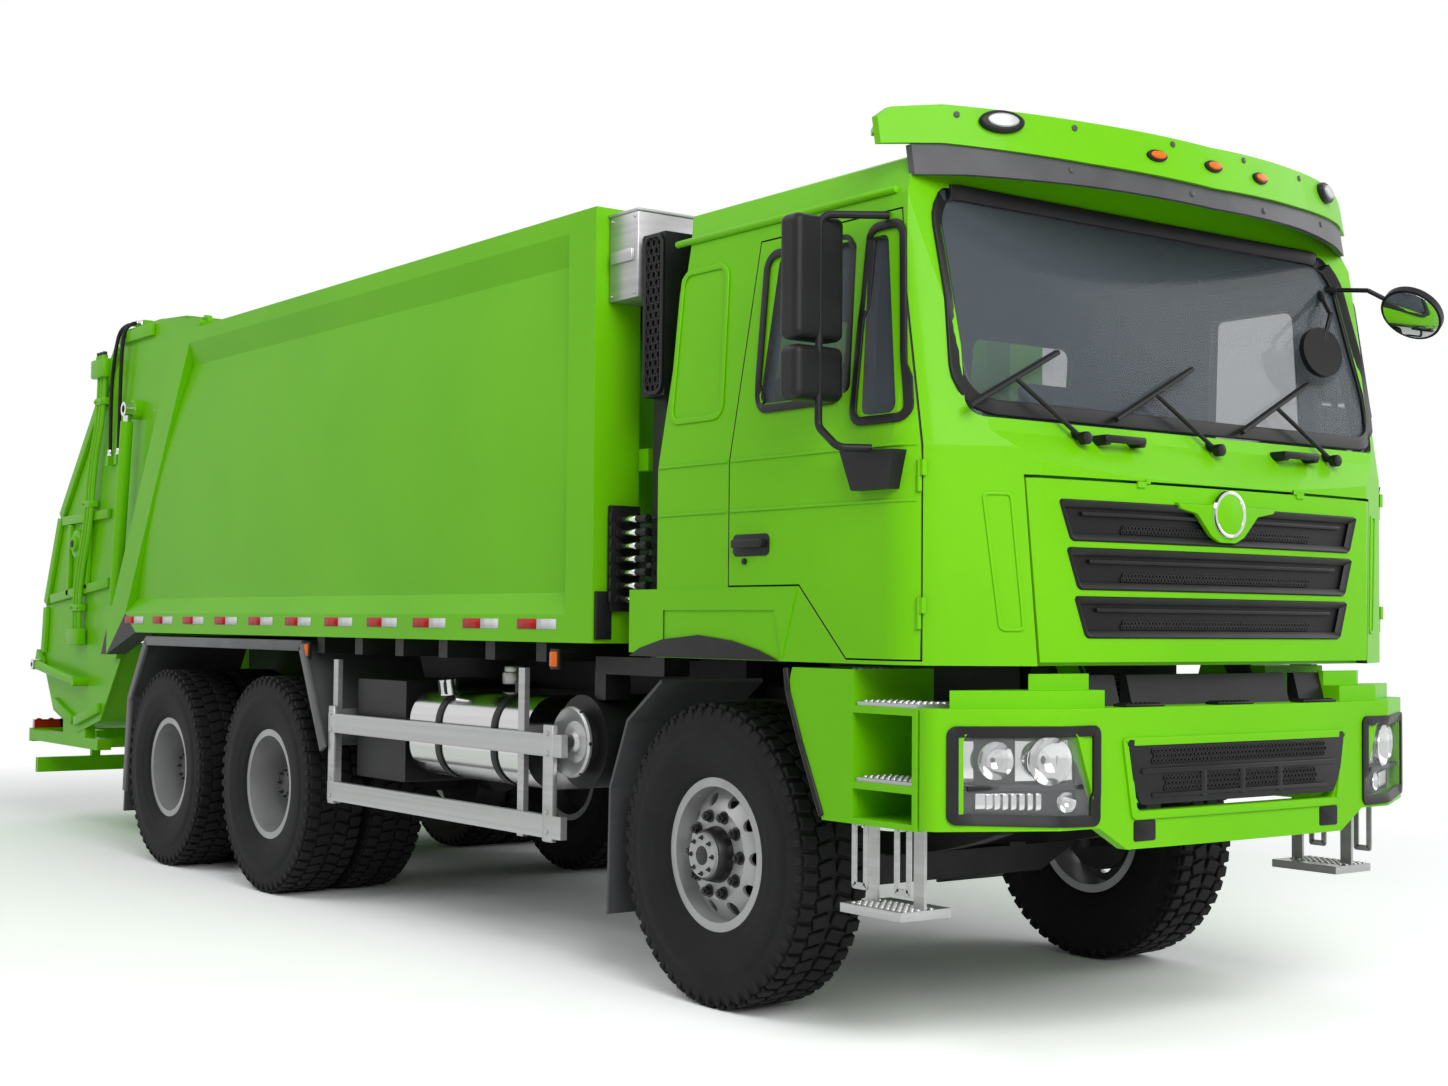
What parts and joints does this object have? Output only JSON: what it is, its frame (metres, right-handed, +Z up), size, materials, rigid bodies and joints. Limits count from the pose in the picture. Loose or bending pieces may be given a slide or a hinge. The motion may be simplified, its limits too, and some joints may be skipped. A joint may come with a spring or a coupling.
{
  "type": "garbage truck",
  "caption": "Rear-loading garbage truck: forward-control day cab, curved compaction body, hopper tailgate with packer blade and bin lifter, on three axles.",
  "frame": {"origin": "on the ground below the middle of the overall length, on the truck's centre plane", "axes": "+Z up, the truck faces -Y, +X is the truck's left"},
  "size_m": [2.95, 9.6, 3.2898],
  "materials": {
    "green_paint": "gloss",
    "chassis_paint": "satin",
    "black_plastic": "matt",
    "interior": "matt",
    "seat_cloth": "matt",
    "clear_glass": "gloss",
    "lamp_glass": "gloss",
    "red_lamp": "gloss",
    "grille_dark": "matt",
    "tyre": "matt",
    "silver_rim": "satin",
    "aluminium": "satin",
    "cast_metal": "matt",
    "mudguard_grey": "matt",
    "hose_rubber": "matt",
    "rod_chrome": "polished"
  },
  "bodies": {
    "chassis": {"chassis_frame": "chassis_paint", "engine": "cast_metal", "bumper": "green_paint", "bumper_bar": "black_plastic", "headlamps": "lamp_glass", "step_wells": "green_paint", "steps": "aluminium", "front_axle": "cast_metal", "rear_axles": "cast_metal", "leaf_springs": "cast_metal", "mudguards": "mudguard_grey", "fuel_tank": "aluminium", "battery_box": "black_plastic", "hydraulic_tank": "chassis_paint", "silencer": "cast_metal", "air_intake": "black_plastic", "side_guards": "aluminium", "refuse_body": "green_paint", "hydraulic_controls": "aluminium"},
    "cab": {"cab_shell": "green_paint", "cab_glass": "clear_glass", "sun_visor": "green_paint", "visor_lip": "mudguard_grey", "dashboard": "interior", "seats": "seat_cloth", "wipers": "black_plastic", "front_mirrors": "black_plastic"},
    "flap": {"grille_flap": "green_paint", "grille_inserts": "grille_dark"},
    "ejector": {"ejector_plate": "green_paint"},
    "tailgate_body": {"tailgate": "green_paint", "tail_lamps": "red_lamp", "hose_front": "hose_rubber", "hose_rear": "hose_rubber"},
    "packer_carriage": {"carriage": "green_paint"},
    "packer_blade": {"sweep_blade": "green_paint"},
    "lift_barrel_pair": {"lift_barrels": "green_paint"},
    "lift_rod_pair": {"lift_rods": "rod_chrome"},
    "lifter": {"bin_lifter": "green_paint"},
    "lifter_barrel_pair": {"lifter_barrels": "green_paint"},
    "lifter_rod_pair": {"lifter_rods": "rod_chrome"},
    "left_door": {"door_left": "green_paint", "door_glass_left": "clear_glass", "door_mirror_left": "black_plastic"},
    "left_knuckle": {"knuckle_left": "cast_metal"},
    "left_front_wheel": {"tyre_front_left": "tyre", "rim_front_left": "silver_rim"},
    "left_middle_wheels": {"tyres_middle_left": "tyre", "rims_middle_left": "silver_rim"},
    "left_rear_wheels": {"tyres_rear_left": "tyre", "rims_rear_left": "silver_rim"},
    "right_door": {"door_right": "green_paint", "door_glass_right": "clear_glass", "door_mirror_right": "black_plastic"},
    "right_knuckle": {"knuckle_right": "cast_metal"},
    "right_front_wheel": {"tyre_front_right": "tyre", "rim_front_right": "silver_rim"},
    "right_middle_wheels": {"tyres_middle_right": "tyre", "rims_middle_right": "silver_rim"},
    "right_rear_wheels": {"tyres_rear_right": "tyre", "rims_rear_right": "silver_rim"}
  },
  "joints": [
    {"name": "cab_tilt", "type": "hinge", "parent": "chassis", "child": "cab", "pos_m": [0, -4.58, 0.98], "axis": [1, 0, 0], "range_deg": [0, 50]},
    {"name": "flap_hinge", "type": "hinge", "parent": "cab", "child": "flap", "pos_m": [0, -4.726, 1.8945], "axis": [-1, 0, 0], "range_deg": [0, 80]},
    {"name": "left_door_hinge", "type": "hinge", "parent": "cab", "child": "left_door", "pos_m": [1.209, -4.495, 2], "axis": [0, 0, -1], "range_deg": [0, 70]},
    {"name": "left_steering", "type": "hinge", "parent": "chassis", "child": "left_knuckle", "pos_m": [0.84, -3.28, 0.56], "axis": [0, 0, 1], "range_deg": [-32, 32]},
    {"name": "left_front_wheel_turn", "type": "hinge", "parent": "left_knuckle", "child": "left_front_wheel", "pos_m": [0.99, -3.28, 0.56], "axis": [1, 0, 0], "continuous": true},
    {"name": "left_middle_wheels_turn", "type": "hinge", "parent": "chassis", "child": "left_middle_wheels", "pos_m": [0.915, 0.495, 0.56], "axis": [1, 0, 0], "continuous": true},
    {"name": "left_rear_wheels_turn", "type": "hinge", "parent": "chassis", "child": "left_rear_wheels", "pos_m": [0.915, 1.895, 0.56], "axis": [1, 0, 0], "continuous": true},
    {"name": "right_door_hinge", "type": "hinge", "parent": "cab", "child": "right_door", "pos_m": [-1.209, -4.495, 2], "axis": [0, 0, 1], "range_deg": [0, 70]},
    {"name": "right_steering", "type": "hinge", "parent": "chassis", "child": "right_knuckle", "pos_m": [-0.84, -3.28, 0.56], "axis": [0, 0, 1], "range_deg": [-32, 32]},
    {"name": "right_front_wheel_turn", "type": "hinge", "parent": "right_knuckle", "child": "right_front_wheel", "pos_m": [-0.99, -3.28, 0.56], "axis": [1, 0, 0], "continuous": true},
    {"name": "right_middle_wheels_turn", "type": "hinge", "parent": "chassis", "child": "right_middle_wheels", "pos_m": [-0.915, 0.495, 0.56], "axis": [1, 0, 0], "continuous": true},
    {"name": "right_rear_wheels_turn", "type": "hinge", "parent": "chassis", "child": "right_rear_wheels", "pos_m": [-0.915, 1.895, 0.56], "axis": [1, 0, 0], "continuous": true},
    {"name": "ejector_slide", "type": "slide", "parent": "chassis", "child": "ejector", "axis": [0, 1, 0], "range_m": [0, 3.9]},
    {"name": "tailgate_hinge", "type": "hinge", "parent": "chassis", "child": "tailgate_body", "pos_m": [0, 1.79705, 3.13], "axis": [1, 0, 0], "range_deg": [0, 65]},
    {"name": "packer_slide", "type": "slide", "parent": "tailgate_body", "child": "packer_carriage", "axis": [0, 0.7071, -0.7071], "range_m": [0, 0.65]},
    {"name": "blade_hinge", "type": "hinge", "parent": "packer_carriage", "child": "packer_blade", "pos_m": [0, 3.34038, 1.85962], "axis": [1, 0, 0], "range_deg": [0, 100]},
    {"name": "lift_barrel_hinge", "type": "hinge", "parent": "chassis", "child": "lift_barrel_pair", "pos_m": [0, 2.91, 1.42], "axis": [1, 0, 0], "range_deg": [-2, 2]},
    {"name": "lift_rod_slide", "type": "slide", "parent": "lift_barrel_pair", "child": "lift_rod_pair", "axis": [0, -0.124, 0.9923], "range_m": [0, 1.1244]},
    {"name": "lifter_hinge", "type": "hinge", "parent": "tailgate_body", "child": "lifter", "pos_m": [0, 4.57, 1.15], "axis": [1, 0, 0], "range_deg": [0, 135]},
    {"name": "lifter_barrel_hinge", "type": "hinge", "parent": "tailgate_body", "child": "lifter_barrel_pair", "pos_m": [0, 3.62, 1], "axis": [1, 0, 0], "range_deg": [-2, 2]},
    {"name": "lifter_rod_slide", "type": "slide", "parent": "lifter_barrel_pair", "child": "lifter_rod_pair", "axis": [0, 0.9935, 0.1135], "range_m": [0, 0.2408]}
  ],
  "couplings": [
    {"joint": "right_steering", "follows": "left_steering", "ratio": 1},
    {"joint": "lift_barrel_hinge", "follows": "tailgate_hinge", "ratio": 0.007797},
    {"joint": "lift_rod_slide", "follows": "tailgate_hinge", "m_per_rad": 0.99021},
    {"joint": "lifter_barrel_hinge", "follows": "lifter_hinge", "ratio": -0.006629},
    {"joint": "lifter_rod_slide", "follows": "lifter_hinge", "m_per_rad": 0.10175}
  ]
}
